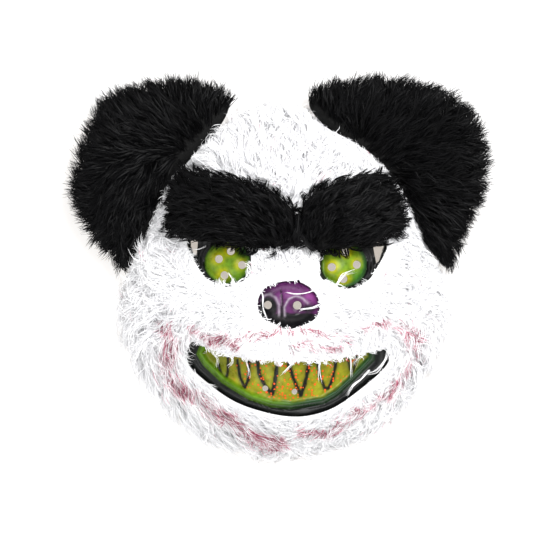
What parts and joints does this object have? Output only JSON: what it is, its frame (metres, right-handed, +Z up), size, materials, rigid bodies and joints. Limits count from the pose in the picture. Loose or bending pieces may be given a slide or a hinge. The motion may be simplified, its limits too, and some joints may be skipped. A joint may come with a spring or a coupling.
{
  "type": "bear mask",
  "caption": "Deep-pile plush bear mask over a formed plastic face, with domed eyes, a toothed grin, flap ears and brows, hollow behind, on a flat elastic.",
  "frame": {"origin": "middle of the mask's outline, on the surface that it lies on", "axes": "+X to the viewer's right across the ears, +Y towards the crown, +Z up and out of the face"},
  "size_m": [0.3006, 0.2765, 0.1071],
  "materials": {
    "face_plastic": "glossy, airbrushed green, yellow, purple and black",
    "white_plush": "long soft pile, streaked pink and dark red round the mouth",
    "black_plush": "long glossy black pile",
    "elastic": "ribbed white elastic"
  },
  "bodies": {
    "root": {"face_shell": "face_plastic", "plush_face": "white_plush", "ear_left": "black_plush", "ear_right": "black_plush", "brow_left": "black_plush", "brow_right": "black_plush", "head_strap": "elastic"}
  },
  "joints": []
}
